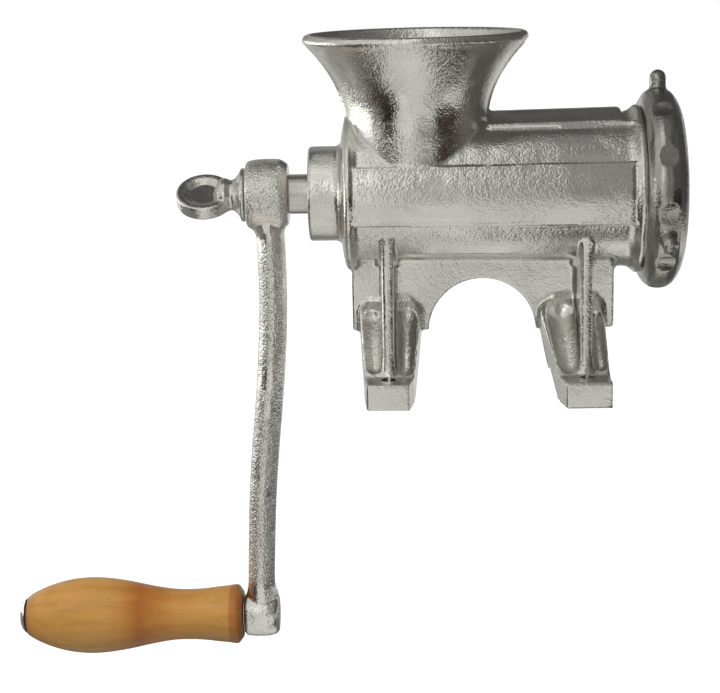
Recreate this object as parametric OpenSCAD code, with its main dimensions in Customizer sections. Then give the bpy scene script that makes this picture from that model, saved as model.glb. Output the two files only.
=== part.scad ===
// Hand crank meat grinder, bolt-down pattern, standard size with a 70 mm plate.
// Millimetres. X runs along the barrel towards the outlet, Z is up, and the origin is
// the centre of the four foot bolt holes, in the plane of the feet's undersides.

/* [Barrel] */
// Height of the barrel's axis above the feet's undersides
axis_z = 95; // [92:1:100]
// X of the rear end wall's outer edge
rear_x = -65; // [-66:0.5:-64]
// Outer radius of the barrel at its rear end
rear_r = 34.6; // [34:0.2:36]
// Outer radius of the barrel just behind its front collar
front_r = 36.8; // [36:0.2:37.6]
// X of the barrel's front end
mouth_x = 88; // [86:0.5:89]
// Radius over the mouth's thread
thread_r = 38.9; // [38.5:0.1:39.2]
// Radius of the collar that stops the ring nut
collar_r = 40; // [39.6:0.1:40.6]
// Radius of the feed bore at the rear
bore_rear_r = 28; // [27:0.5:29]
// Radius of the feed bore at the plate's seat
bore_front_r = 31.5; // [31:0.5:32]
// How far the raised pads stand out from the barrel
pad_rise = 1.5; // [0.8:0.1:2]
// Radius of the rear bearing hub
hub_r = 22.6; // [20:0.1:23]
// Length of the rear bearing hub
hub_len = 18.4; // [15:0.2:22]

/* [Hopper] */
// X of the hopper's centre
hopper_x = -31.8; // [-33:0.1:-30]
// Outer radius of the hopper's neck
neck_r = 33.5; // [33:0.5:34]
// Half the hopper's outside length at the rim, along X
rim_half_x = 53; // [50:0.5:56]
// Half the hopper's outside width at the rim, along Y
rim_half_y = 43; // [40:0.5:46]
// Height of the rim's top above the barrel's axis
rim_h = 75.8; // [72:0.2:80]
// Height above the axis at which the flare begins
flare_h = 34; // [33:0.5:36]
// How strongly the flare curves
flare_power = 2; // [1.6:0.05:2.2]
// Wall of the hopper
hopper_wall = 4.2; // [3.5:0.1:5]

/* [Feet] */
// Distance between bolt holes along X
bolt_dx = 92.8; // [90:0.2:96]
// Distance between bolt holes along Y
bolt_dy = 79; // [76:0.5:82]
// Radius of a bolt hole
bolt_r = 3.5; // [3:0.25:4]
// Distance between the feet's outer faces along Y
feet_span_y = 100; // [98:1:104]
// Thickness of a foot
foot_h = 12.5; // [10:0.5:14]
// X of the web's rear edge
web_x0 = -63.4; // [-64:0.1:-61]
// X of the web's front edge
web_x1 = 62; // [61:0.1:63]
// Thickness of the web
web_t = 8; // [6:0.5:10]
// Height of the web's lower edge
web_z = 29; // [27:0.5:31]
// Radius of the arch in the web
arch_r = 25.8; // [24:0.2:28]
// X of the arch's centre
arch_x = -1.2; // [-3:0.2:1]
// Height of the arch's centre
arch_z = 27.4; // [26:0.2:29]
// Thickness of a leg's rib
rib_t = 5; // [4:0.5:6]

/* [Ring nut] */
// Largest radius of the ring nut
ring_r = 47.6; // [47:0.2:49]
// X of the ring nut's rear edge
ring_x0 = 73.4; // [73.2:0.1:74]
// X of the ring nut's front face
ring_x1 = 93; // [92.6:0.2:95]
// Radius of the ring nut's outlet
outlet_r = 30.5; // [28:0.5:31]
// Number of finger scallops around the ring nut
scallops = 11; // [11:2:11]
// Turn of the ring nut's first lug from upright, towards the near side
ring_start = -3.5; // [-15:0.5:15]
// Radius of a turning lug
lug_r = 3.9; // [3:0.1:4.2]
// Radius that the lugs reach
lug_tip_r = 56; // [54:0.5:58]

/* [Cutting parts] */
// Radius of the grinding plate
plate_r = 35; // [34.8:0.1:35]
// Thickness of the grinding plate
plate_t = 7.95; // [7.5:0.05:7.95]
// Radius of a hole in the grinding plate
plate_hole_r = 2.4; // [2:0.1:2.6]
// Length of a knife blade from the centre
knife_r = 30.3; // [28:0.5:31]
// Thickness of the knife
knife_t = 8; // [7:0.5:8]
// Width of the square that drives the knife
knife_sq = 12.7; // [12:0.1:13]

/* [Feed screw] */
// Diameter of the feed screw's shaft
shaft_d = 19; // [18.6:0.1:19.4]
// Width of the square tail that the crank fits on
tail_sq = 13; // [12.5:0.1:13.2]
// Number of turns of the flight
flight_turns = 3.2; // [2.8:0.1:3.6]
// Radial gap between the flight and the feed bore
flight_gap = 0.8; // [0.6:0.1:1.2]

/* [Crank] */
// Distance from the shaft's axis to the grip's axis
throw = 213; // [200:0.5:225]
// X of the upper boss's outer face
boss_x0 = -113.8; // [-115:0.2:-113.4]
// X of the upper boss's inner face
boss_x1 = -93.2; // [-94:0.2:-92]
// Radius of the upper boss
boss_r = 17.1; // [16:0.1:18]
// X of the lower boss's outer face
eye_x0 = -121.3; // [-121.3:0.1:-121.3]
// X of the lower boss's inner face
eye_x1 = -103.7; // [-105:0.1:-103]
// Radius of the lower boss
eye_r = 11.3; // [10.5:0.1:12]
// Thickness of the arm along X
arm_t = 13.6; // [12:0.2:14]

/* [Thumb screw] */
// Radius of the thumb screw's flange
flange_r = 12.8; // [12:0.1:13.5]
// Radius of the thumb screw's round tab
tab_r = 13.6; // [12:0.1:14]
// Thickness of the tab
tab_t = 7; // [5:0.5:8]
// Turn of the tab out of the vertical, about the shaft
tab_turn = 58; // [0:1:180]
// Radius over the thumb screw's thread
screw_r = 4.95; // [4.9:0.01:4.97]

/* [Grip] */
// Largest radius of the wooden grip
grip_r = 19.1; // [18.9:0.1:20]
// X of the grip's outer end
grip_x0 = -231.2; // [-232:0.1:-230]
// X of the grip's inner end
grip_x1 = -122.2; // [-122.2:0.1:-122.2]
// Radius of the spindle inside the grip
spindle_r = 4.5; // [4:0.1:5]
// Radius of the spindle's domed head
head_r = 8.4; // [8:0.1:9]

/* [Hidden] */

TIN = [0.80, 0.79, 0.76];
STEEL = [0.72, 0.73, 0.75];
WOOD = [0.76, 0.48, 0.22];
$fn = 64;
loft_sides = 48;              // facets round a lofted ring
hull_sides = 32;              // facets of round shapes inside a hull

running = 0.05;               // radial clearance of a shaft that turns
thread_gap = 0.08;            // radial clearance of a plain-cylinder thread or the loose grip
face_gap = 0.3;               // clearance between faces that turn past each other

flat_y = feet_span_y / 2 - 14;  // |y| where a foot's flat top ends and its leg begins
rear_wall_x = rear_x + 5;     // inner face of the rear wall
hub_x = rear_x - hub_len;     // free face of the hub
seat_x = mouth_x - 6.5;       // face that the grinding plate seats on
plate_x1 = seat_x + plate_t;  // front face of the grinding plate
collar_x = ring_x0 - face_gap;  // front face of the collar
key_r = 2;                    // radius of the plate key
key_h = -(plate_r - 0.4);     // height of the plate key, from the axis
stud_pin_r = 5;               // radius of the drive stud's front pin
bush_r = 12.5;                // outer radius of the rear bush
washer_x1 = rear_wall_x + 1.5;  // front face of the thrust washer
screw_x0 = washer_x1 + face_gap;  // rear shoulder of the feed screw
screw_x1 = seat_x - knife_t - 0.9;  // nose of the feed screw
grip_z = axis_z - throw;      // height of the grip's axis

// Turns a shape whose own axis is Z so that it lies along X on the barrel's axis
module on_axis(z = axis_z) {
    translate([0, 0, z]) rotate([0, 90, 0]) children();
}

// A turned solid from [radius, x] points
module turned(profile, z = axis_z) {
    on_axis(z) rotate_extrude() polygon(profile);
}

// A round bar or hole along X
module round_bar(r, x0, x1, z = axis_z) {
    translate([x0, 0, 0]) on_axis(z) cylinder(r = r, h = x1 - x0);
}

// A square bar along X
module square_bar(side, x0, x1, z = axis_z) {
    translate([x0, -side / 2, z - side / 2]) cube([x1 - x0, side, side]);
}

// A closed solid through rings of points that all have the same count. The rings run
// anticlockwise seen from the far end of the loft.
module loft(rings) {
    n = len(rings[0]);
    last = len(rings) - 1;
    points = [for (ring = rings) for (p = ring) p];
    sides = [
        for (k = [0 : last - 1]) for (i = [0 : n - 1])
            let (a = k * n + i, b = k * n + (i + 1) % n)
                each [[b + n, b, a], [a + n, b + n, a]]
    ];
    near_cap = [[for (i = [0 : n - 1]) i]];
    far_cap = [[for (i = [n - 1 : -1 : 0]) last * n + i]];
    polyhedron(points = points, faces = concat(near_cap, sides, far_cap));
}

// ---------------------------------------------------------------- body casting

// Outside of the barrel at x, between its rear end and the collar
function barrel_r(x) = rear_r + (front_r - rear_r) * (x - rear_x) / (collar_x - rear_x);

// Radius of the feed bore at x
function bore_r(x) = bore_rear_r
    + (bore_front_r - bore_rear_r) * (x - rear_wall_x) / (seat_x - rear_wall_x);

module barrel_shell() {
    turned([
        [0, rear_x - 3], [hub_r + 2, rear_x - 3], [29, rear_x - 1.4], [34, rear_x],
        [rear_r + 1, rear_x + 0.8], [rear_r + 1, rear_x + 2.6], [barrel_r(-60), rear_x + 3.6],
        [barrel_r(66), 66], [collar_r - 0.6, 69.8], [collar_r, 70.6],
        [collar_r, collar_x - 0.6], [thread_r, collar_x], [thread_r, mouth_x - 1],
        [thread_r - 1, mouth_x], [0, mouth_x]
    ]);
}

// A raised pad along the barrel's far side, between two angles above the horizontal
module barrel_pad(x0, x1, low, high, rise = pad_rise) {
    on_axis() rotate([0, 0, 90 + low])
        rotate_extrude(angle = high - low)
            polygon([
                [barrel_r(x0) - 3, x0], [barrel_r(x0) + rise, x0 + 1],
                [barrel_r(x1) + rise, x1 - 1], [barrel_r(x1) - 3, x1]
            ]);
}

module hub() {
    turned([
        [0, hub_x], [hub_r - 1.2, hub_x], [hub_r, hub_x + 1.2],
        [hub_r, rear_x - 5.5], [hub_r + 1, rear_x - 3.8], [hub_r + 3.5, rear_x - 2.4],
        [hub_r + 3.5, rear_x + 1], [0, rear_x + 1]
    ]);
}

// Share of the full flare at a height above the axis, 0 at the neck and 1 at the rim
function flare(h) = h <= flare_h ? 0 : pow((h - flare_h) / (rim_h - 4.2 - flare_h), flare_power);

// An oval of points round the hopper at a height above the axis
function hopper_ring(h, inset, sides = loft_sides) =
    let (
        s = min(1, flare(h)),
        a = neck_r + (rim_half_x - 0.8 - neck_r) * s - inset,
        b = neck_r + (rim_half_y - 0.8 - neck_r) * s - inset
    )
    [for (i = [0 : sides - 1]) [hopper_x + a * cos(360 * i / sides), b * sin(360 * i / sides), axis_z + h]];

module hopper_outside() {
    loft([
        for (h = [6, flare_h, 42, 49, 55, 61, 66, rim_h - 6]) hopper_ring(h, 0),
        hopper_ring(rim_h - 5.4, -0.6), hopper_ring(rim_h - 4.2, -0.6),
        hopper_ring(rim_h - 2.6, -0.8), hopper_ring(rim_h - 1, -0.3), hopper_ring(rim_h, 1)
    ]);
}

module hopper_inside() {
    wall = hopper_wall;
    loft([
        for (h = [8, flare_h, 42, 49, 55, 61, 66, rim_h - 2]) hopper_ring(h, wall),
        hopper_ring(rim_h + 0.1, wall - 1), hopper_ring(rim_h + 3, wall - 3)
    ]);
}

module web() {
    translate([0, web_t / 2, 0]) rotate([90, 0, 0]) linear_extrude(web_t)
        difference() {
            polygon([
                [web_x0, web_z], [web_x1, web_z], [web_x1, axis_z - 38],
                [web_x1 - 4, axis_z - 30], [web_x0 + 4, axis_z - 30], [web_x0, axis_z - 40]
            ]);
            translate([arch_x, arch_z]) circle(r = arch_r);
        }
}

// One foot block in plan: narrow outside, wider towards the web. u is +1 or -1 away from the
// arch. The front feet are a little wider than the rear ones.
module foot_plan(u) {
    more = u > 0 ? 0.8 : 0;
    polygon([
        [u * (9.8 + more), feet_span_y / 2], [u * 12, feet_span_y / 2 - 20],
        [-u * (12.6 + more), feet_span_y / 2 - 20], [-u * (9.6 + more), feet_span_y / 2]
    ]);
}

// A leg runs from the web out to its foot; sx and sy pick the corner
module leg(sx, sy) {
    translate([sx * bolt_dx / 2, 0, 0]) mirror([0, sy < 0 ? 1 : 0, 0]) {
        linear_extrude(foot_h) foot_plan(sx);
        hull() {
            linear_extrude(foot_h) intersection() {
                foot_plan(sx);
                translate([-20, 0]) square([40, flat_y]);
            }
            translate([sx > 0 ? -19.6 : -14.2, 0, web_z]) cube([30.4, web_t / 2 + 3, 13]);
        }
        leg_rib();
    }
}

// Upright gusset from the barrel's flank down to the bolt hole
module leg_rib() {
    translate([rib_t / 2, 0, 0]) rotate([0, -90, 0]) linear_extrude(rib_t)
        polygon([
            [web_z + 5, 0], [5, feet_span_y / 2 - 20], [foot_h - 2, feet_span_y / 2 - 17],
            [foot_h - 2, bolt_dy / 2 - 3.7], [foot_h + 6, bolt_dy / 2 - 5.2],
            [axis_z - 29, 27.5], [axis_z - 15, 31], [axis_z - 15, 0]
        ]);
}

// Scooped hollows in a leg's sloping face, either side of its rib
module leg_hollows(sx, sy) {
    translate([sx * bolt_dx / 2, 0, 0]) mirror([0, sy < 0 ? 1 : 0, 0])
        for (hollow = [[-sx, 4.9], [sx, 3.8]]) {
            r = hollow[1];
            translate([hollow[0] * (rib_t / 2 + r + 0.4), flat_y - 4, foot_h + r])
                rotate([45, 0, 0]) {
                    sphere(r = r);
                    cylinder(r = r, h = 30);
                    translate([0, 0, 30]) sphere(r = r);
                }
        }
}

// Shallow recess along the barrel's lower flank, between the ribs
module flank_recess() {
    r = barrel_r(0) - 1;
    on_axis() rotate([0, 0, 2]) rotate_extrude(angle = 31)
        polygon([[r, -40], [r, 40], [r + 4, 43], [r + 4, -43]]);
}

module body_casting() {
    color(TIN) difference() {
        union() {
            difference() {
                union() {
                    web();
                    for (sx = [-1, 1]) for (sy = [-1, 1]) leg(sx, sy);
                }
                for (sx = [-1, 1]) for (sy = [-1, 1]) leg_hollows(sx, sy);
            }
            difference() {
                barrel_shell();
                for (flip = [0, 1]) mirror([0, flip, 0]) flank_recess();
            }
            hub();
            hopper_outside();
            for (flip = [0, 1]) mirror([0, flip, 0]) barrel_pad(rear_x + 2.5, 67, -17, 26);
            barrel_pad(0, 65, 61, 119, pad_rise + 1);
        }
        hopper_inside();
        turned([[0, rear_wall_x], [bore_rear_r, rear_wall_x], [bore_front_r, seat_x], [0, seat_x]]);
        round_bar(plate_r + 0.1, seat_x, mouth_x + 1);
        round_bar(bush_r, hub_x - 1, rear_wall_x + 1);
        round_bar(key_r, seat_x - 8, mouth_x + 1, axis_z + key_h);
        for (sx = [-1, 1]) for (sy = [-1, 1])
            translate([sx * bolt_dx / 2, sy * bolt_dy / 2, -1]) cylinder(r = bolt_r, h = foot_h + 2);
    }
}

// Sleeve pressed into the hub, that the shaft turns in
module rear_bush() {
    color("peru") difference() {
        round_bar(bush_r, hub_x + 0.6, rear_wall_x);
        round_bar(shaft_d / 2 + running, hub_x - 1, rear_wall_x + 1);
    }
}

// Fibre washer that takes the feed screw's thrust
module thrust_washer() {
    color("saddlebrown") difference() {
        round_bar(17, rear_wall_x, washer_x1);
        round_bar(shaft_d / 2 + 0.4, rear_wall_x - 1, washer_x1 + 1);
    }
}

// Pin that stops the grinding plate turning
module plate_key() {
    color(STEEL) round_bar(key_r, seat_x - 8, mouth_x - 0.5, axis_z + key_h);
}

// ---------------------------------------------------------------- feed screw and cutting parts

// Radius of the feed screw's core at x
function core_r(x) = 11.5 + 4 * (x - screw_x0) / (screw_x1 - screw_x0);

// Tapered bar of the flight: a blade section at x, turned by angle a
function blade(x, a, root, tip) =
    let (thick_root = 5, thick_tip = 2.8)
    [for (p = [[root, -thick_root], [tip, -thick_tip], [tip, thick_tip], [root, thick_root]])
        [x + p[1] / 2, p[0] * sin(a), axis_z + p[0] * cos(a)]];

module flight() {
    steps = round(flight_turns * 30);
    start = screw_x0 + 7;
    end = screw_x1 - 4.2;
    loft([
        for (k = [0 : steps])
            let (
                t = k / steps,
                x = start + (end - start) * (1.28 * t - 0.28 * t * t),
                fade = min(1, 0.35 + 6 * t, 0.35 + 9 * (1 - t)),
                tip = core_r(x) + (bore_r(x) - flight_gap - core_r(x)) * fade
            )
            blade(x, 360 * flight_turns * t, core_r(x) - 3, tip)
    ]);
}

module feed_screw() {
    color(TIN) difference() {
        union() {
            turned([
                [0, boss_x1], [shaft_d / 2, boss_x1], [shaft_d / 2, screw_x0],
                [core_r(screw_x0) + 4, screw_x0], [core_r(screw_x0) + 4, screw_x0 + 3],
                [core_r(screw_x0 + 8), screw_x0 + 8], [core_r(screw_x1 - 1.5), screw_x1 - 1.5],
                [core_r(screw_x1) - 1.5, screw_x1], [0, screw_x1]
            ]);
            square_bar(tail_sq, boss_x0 + 1, boss_x1 + 1);
            flight();
        }
        round_bar(screw_r + running, boss_x0, boss_x0 + 28);
        round_bar(stud_pin_r, screw_x1 - 15, screw_x1 + 1);
    }
}

// Steel stud in the feed screw's nose: a square for the knife and a pin for the plate
module drive_stud() {
    color(STEEL) {
        round_bar(stud_pin_r, screw_x1 - 15, seat_x + plate_t - 1.2);
        square_bar(knife_sq, screw_x1, seat_x - 0.8);
    }
}

// One blade of the knife, along +Z, with a bevelled back
module knife_blade(a) {
    x1 = seat_x - face_gap;
    x0 = x1 - knife_t;
    translate([0, 0, axis_z]) rotate([a, 0, 0])
        rotate([90, 0, 90]) translate([0, 0, x0])
            linear_extrude(knife_t) polygon([[-5, 6], [-3.2, knife_r], [3.6, knife_r - 1.4], [5.6, 6]]);
}

module cross_knife() {
    x1 = seat_x - face_gap;
    x0 = x1 - knife_t;
    color(STEEL) difference() {
        union() {
            round_bar(12, x0, x1);
            for (k = [0 : 3]) difference() {
                knife_blade(90 * k);
                translate([0, 0, axis_z]) rotate([90 * k, 0, 0])
                    translate([x0 - 6.4, -8, 14]) rotate([0, 0, 24]) cube([6, 24, 24]);
            }
        }
        square_bar(knife_sq + 0.1, x0 - 1, x1 + 1);
        // relief behind the cutting edges
        turned([[13.5, x1 - 1], [17, x1 + 0.1], [14, x1 + 1], [13, x1 + 1]]);
    }
}

// Rings of holes in the grinding plate: [circle radius, count]
plate_rings = [[9.6, 10], [15.6, 16], [21.6, 22], [27.4, 28]];

module grinding_plate() {
    color(STEEL) difference() {
        round_bar(plate_r, seat_x, plate_x1);
        round_bar(stud_pin_r + running, seat_x - 1, plate_x1 + 1);
        for (ring = plate_rings) for (k = [0 : ring[1] - 1])
            rotate_about_axis(360 * k / ring[1] + 180 / ring[1])
                round_bar(plate_hole_r, seat_x - 1, plate_x1 + 1, axis_z + ring[0]);
        round_bar(key_r + 0.25, seat_x - 1, plate_x1 + 1, axis_z + key_h);
    }
}

// Turns a shape round the barrel's axis
module rotate_about_axis(a) {
    translate([0, 0, axis_z]) rotate([a, 0, 0]) translate([0, 0, -axis_z]) children();
}

// ---------------------------------------------------------------- ring nut

module ring_lug() {
    x = ring_x0 + 8.9;
    root_r = ring_r - 4;
    translate([x, 0, axis_z + root_r]) cylinder(r = lug_r, h = lug_tip_r - lug_r - root_r);
    translate([x, 0, axis_z + lug_tip_r - lug_r]) sphere(r = lug_r);
}

module ring_nut() {
    color(TIN) difference() {
        union() {
            turned([
                [36, ring_x0], [40.6, ring_x0], [42.6, ring_x0 + 0.7], [45, ring_x0 + 2.6],
                [46.9, ring_x0 + 5], [ring_r, ring_x0 + 7.6], [ring_r, ring_x0 + 10],
                [47.1, ring_x0 + 12], [45.7, ring_x0 + 14.1], [43, ring_x0 + 16.2],
                [39.6, ring_x0 + 17.9], [36, ring_x1 - 0.6], [32.8, ring_x1],
                [outlet_r + 0.5, ring_x1], [outlet_r, ring_x1 - 0.5], [outlet_r, ring_x0 + 10],
                [36, ring_x0 + 10]
            ]);
            for (place = [0, 3.5, 7.5])
                rotate_about_axis(ring_start + place * 360 / scallops) ring_lug();
        }
        round_bar(thread_r + thread_gap, ring_x0 - 1, plate_x1 + 0.1);
        for (k = [1 : scallops - 1]) rotate_about_axis(ring_start + k * 360 / scallops)
            translate([82.8, 0, axis_z + ring_r + 12 - 1.7]) sphere(r = 12);
    }
}

// ---------------------------------------------------------------- crank

// The arm's line: depth below the shaft, x of its middle, width along Y, thickness along X.
// It starts straight down, out of the boss's taper, then bows outwards.
arm_stations = [
    [8, -103.4, 25, 19.2], [13.4, -103.4, 24, 18.8], [15.8, -103.3, 22.5, 16.4],
    [18.6, -102.8, 21, 14.2], [26, -102.4, 19, arm_t],
    [54, -102.4, 18, arm_t], [88, -104.4, 17, arm_t], [126, -108.2, 16.2, arm_t],
    [153, -110.5, 15.6, arm_t], [180, -112, 15.2, arm_t], [198, -112.7, 15.6, arm_t],
    [207, -112.7, 16.5, arm_t]
];

// A ten-sided bar section with a soft ridge down each narrow side
function arm_ring(s) = [
    for (p = [[0.5, -0.24], [0.3, -0.44], [0, -0.5], [-0.3, -0.44], [-0.5, -0.24],
              [-0.5, 0.24], [-0.3, 0.44], [0, 0.5], [0.3, 0.44], [0.5, 0.24]])
        [s[1] + p[0] * s[3], p[1] * s[2], axis_z - s[0]]
];

module crank_arm() {
    color(TIN) difference() {
        union() {
            turned([
                [0, boss_x0], [boss_r - 2.4, boss_x0], [boss_r - 1, boss_x0 + 1],
                [boss_r - 0.2, boss_x0 + 5], [boss_r, boss_x0 + 10], [boss_r - 0.3, boss_x1 - 4],
                [boss_r - 1.2, boss_x1 - 1], [boss_r - 2.6, boss_x1], [0, boss_x1]
            ]);
            loft([for (s = arm_stations) arm_ring(s)]);
            turned([
                [0, eye_x0], [eye_r - 1.6, eye_x0], [eye_r - 0.5, eye_x0 + 1], [eye_r, eye_x0 + 5],
                [eye_r, eye_x1 - 6], [eye_r - 0.8, eye_x1 - 1.4], [eye_r - 2.2, eye_x1], [0, eye_x1]
            ], grip_z);
        }
        square_bar(tail_sq + 0.1, boss_x0 - 1, boss_x1 + 1);
        round_bar(spindle_r - 0.5, eye_x0 - 1, eye_x1 - 3, grip_z);
    }
}

// Half the tab's section: distance from its centre, half thickness. The rim stands round a dish.
tab_profile = [
    [0, tab_t / 2 - 1.4], [8.8, tab_t / 2 - 1.2], [10.6, tab_t / 2 - 0.2],
    [tab_r - 1.6, tab_t / 2], [tab_r - 0.3, tab_t / 2 - 1], [tab_r, 0.4]
];

// Thumb screw: threaded shank, flange, waisted neck and a round dished tab
module thumb_screw() {
    tab_x = boss_x0 - 6.3 - tab_r;
    color(TIN) {
        round_bar(screw_r, boss_x0, boss_x0 + 24);
        turned([
            [0, boss_x0], [flange_r - 0.6, boss_x0], [flange_r, boss_x0 - 0.6],
            [flange_r - 0.3, boss_x0 - 1.6], [10.4, boss_x0 - 2.2], [8.2, boss_x0 - 3.4],
            [7.2, boss_x0 - 5.4], [7.4, boss_x0 - 8], [7, boss_x0 - 10.6],
            [5.2, boss_x0 - 12.8], [0, boss_x0 - 14]
        ]);
        translate([0, 0, axis_z]) rotate([-tab_turn, 0, 0]) translate([tab_x, 0, 0]) rotate([90, 0, 0])
            rotate_extrude() polygon(concat(
                [for (p = tab_profile) [p[0], -p[1]]],
                [for (k = [len(tab_profile) - 1 : -1 : 0]) tab_profile[k]]
            ));
    }
}

// ---------------------------------------------------------------- grip

module grip_spindle() {
    head_x = grip_x0 - 1 - face_gap;
    color("lightgray") turned([
        [0, head_x - 3.2], [3.4, head_x - 3], [6.2, head_x - 2.3], [head_r - 0.5, head_x - 1.2],
        [head_r, head_x - 0.5], [head_r, head_x], [spindle_r, head_x], [spindle_r, eye_x0],
        [spindle_r - 0.5, eye_x0], [spindle_r - 0.5, eye_x1 - 3], [0, eye_x1 - 3]
    ], grip_z);
}

module grip_end_washer() {
    color([0.1, 0.1, 0.1]) difference() {
        round_bar(head_r + 0.3, grip_x0 - 1 - face_gap, grip_x0 - face_gap, grip_z);
        round_bar(spindle_r, grip_x0 - 2, grip_x0 + 1, grip_z);
    }
}

module grip_inner_washer() {
    color(STEEL) difference() {
        round_bar(9.4, grip_x1 + face_gap, eye_x0, grip_z);
        round_bar(spindle_r, grip_x1 - 1, eye_x0 + 1, grip_z);
    }
}

// Turned wooden grip: share of the length, radius
grip_profile = [
    [0, 9.8], [0.02, 11.3], [0.05, 13], [0.09, 14.9], [0.14, 16.7], [0.19, 18], [0.24, 18.8],
    [0.3, grip_r], [0.36, 18.8], [0.42, 18], [0.48, 16.9], [0.54, 15.5], [0.6, 14.2],
    [0.66, 13.1], [0.71, 12.7], [0.77, 12.7], [0.83, 13.1], [0.89, 13.9], [0.94, 14.5],
    [0.972, 14.9], [0.982, 14.6], [1, 11.8]
];

module wooden_grip() {
    length = grip_x1 - grip_x0;
    color(WOOD) difference() {
        turned(concat(
            [[0, grip_x0]],
            [for (p = grip_profile) [p[1], grip_x0 + p[0] * length]],
            [[0, grip_x1]]
        ), grip_z);
        round_bar(spindle_r + thread_gap, grip_x0 - 1, grip_x1 + 1, grip_z);
    }
}

body_casting();
rear_bush();
thrust_washer();
plate_key();
feed_screw();
drive_stud();
cross_knife();
grinding_plate();
ring_nut();
crank_arm();
thumb_screw();
grip_spindle();
grip_end_washer();
grip_inner_washer();
wooden_grip();
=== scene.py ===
# %% [markdown]
# # A hand crank meat grinder in tinned cast metal
# The solids that hold and move each other are already made, so they are loaded first and never
# changed. This lesson builds the parts that the eye sees on top of them: soft-edged castings, real
# screw threads, turned wood and their finishes. Everything is in metres, with the feet's
# undersides at height zero and the barrel along X.

# %% Load the frame
import math

import bmesh
import bpy
from mathutils import Matrix, Vector


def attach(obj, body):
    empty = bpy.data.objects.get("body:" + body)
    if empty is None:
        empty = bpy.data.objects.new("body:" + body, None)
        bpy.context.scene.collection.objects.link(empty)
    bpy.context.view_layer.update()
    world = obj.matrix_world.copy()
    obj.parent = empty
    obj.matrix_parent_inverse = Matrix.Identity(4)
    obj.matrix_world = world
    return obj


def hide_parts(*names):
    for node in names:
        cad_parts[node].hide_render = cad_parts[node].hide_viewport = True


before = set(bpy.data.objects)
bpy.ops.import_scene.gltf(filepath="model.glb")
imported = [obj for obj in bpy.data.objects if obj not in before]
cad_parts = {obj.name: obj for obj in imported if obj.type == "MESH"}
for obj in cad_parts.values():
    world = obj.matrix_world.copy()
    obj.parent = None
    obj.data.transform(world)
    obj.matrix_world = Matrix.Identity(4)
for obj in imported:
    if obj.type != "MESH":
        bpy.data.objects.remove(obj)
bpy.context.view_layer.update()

# %% [markdown]
# ## Helpers for drawing in millimetres
# A foundry drawing is in millimetres, so each shape is drawn that way in a bmesh, which is
# Blender's editable mesh, and shrunk to metres when it becomes an object. Doubled points are
# merged and the faces turned outwards at the same moment.

# %% From bmesh to object
MM = 0.001
AXIS_Z = 95.0
THROW = 213.0
GRIP_Z = AXIS_Z - THROW


def placed(name, data):
    """A new object with this data, in the scene."""
    obj = bpy.data.objects.new(name, data)
    bpy.context.scene.collection.objects.link(obj)
    return obj


def to_object(bm, name):
    """Turn a bmesh drawn in millimetres into an object in metres."""
    bmesh.ops.remove_doubles(bm, verts=bm.verts, dist=0.001)
    bmesh.ops.recalc_face_normals(bm, faces=bm.faces)
    bmesh.ops.scale(bm, vec=Vector((MM, MM, MM)), verts=bm.verts)
    mesh = bpy.data.meshes.new(name)
    bm.to_mesh(mesh)
    bm.free()
    return placed(name, mesh)


print("barrel axis at", AXIS_Z, "mm and grip axis at", GRIP_Z, "mm")

# %% [markdown]
# Most of this machine was turned on a lathe or cast from a turned pattern. Spinning half an
# outline round a line gives such a shape at once. `use_merge` welds the last step to the first.

# %% A lathe along X
def chain(bm, points, closed=False):
    """Points joined by edges in a row, ready to be spun."""
    verts = [bm.verts.new(point) for point in points]
    edges = [bm.edges.new(pair) for pair in zip(verts, verts[1:])]
    if closed:
        edges.append(bm.edges.new((verts[-1], verts[0])))
    return verts + edges


def turned(name, outline, z=AXIS_Z, steps=96, closed=False):
    """Spin an outline of (radius, x) points round a line along X at height z."""
    bm = bmesh.new()
    half = chain(bm, [(x, 0, z + radius) for radius, x in outline], closed)
    bmesh.ops.spin(bm, geom=half, cent=(0, 0, z), axis=(1, 0, 0),
                   angle=math.tau, steps=steps, use_merge=True)
    return to_object(bm, name)


def rod(name, radius, x0, x1, z=AXIS_Z, steps=96):
    """A plain round bar along X, for cutting bores."""
    return turned(name, [(0, x0), (radius, x0), (radius, x1), (0, x1)], z, steps)


def drill(name, radius, depth, place, steps):
    """A plain round bar along Z, put in place by a matrix, for cutting holes."""
    bm = bmesh.new()
    bmesh.ops.create_cone(bm, cap_ends=True, segments=steps, radius1=radius, radius2=radius,
                          depth=depth, matrix=place)
    return to_object(bm, name)


# %% [markdown]
# Legs, pads and arms are tapered blocks. The tightest convex skin over a handful of corner points
# gives each block, and several such blocks that overlap make a longer or bent one.

# %% Blocks and capsules
def block(name, corners):
    """The convex skin over some points."""
    bm = bmesh.new()
    for corner in corners:
        bm.verts.new(corner)
    bmesh.ops.convex_hull(bm, input=bm.verts)
    return to_object(bm, name)


def capsule(name, start, end, radius, end_radius=None):
    """A round-ended bar between two points. It may taper from one radius to another."""
    bm = bmesh.new()
    for centre, r in ((start, radius), (end, end_radius or radius)):
        bmesh.ops.create_uvsphere(bm, u_segments=32, v_segments=20, radius=r,
                                  matrix=Matrix.Translation(centre))
    bmesh.ops.delete(bm, geom=bm.faces[:], context="FACES_ONLY")
    bmesh.ops.delete(bm, geom=bm.edges[:], context="EDGES_FACES")
    bmesh.ops.convex_hull(bm, input=bm.verts)
    loose = [v for v in bm.verts if not v.link_faces]
    bmesh.ops.delete(bm, geom=loose, context="VERTS")
    return to_object(bm, name)


# %% [markdown]
# ## One casting out of many blocks
# Molten metal rounds every corner and fills every joint. A voxel remesh does the same to the
# overlapping blocks: it wraps them in one even skin, and a few rounds of smoothing round the
# corners. Boolean cuts before it leave soft hollows, and cuts after it leave machined edges. All
# of these are modifiers, so a helper applies them to the mesh.

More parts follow.
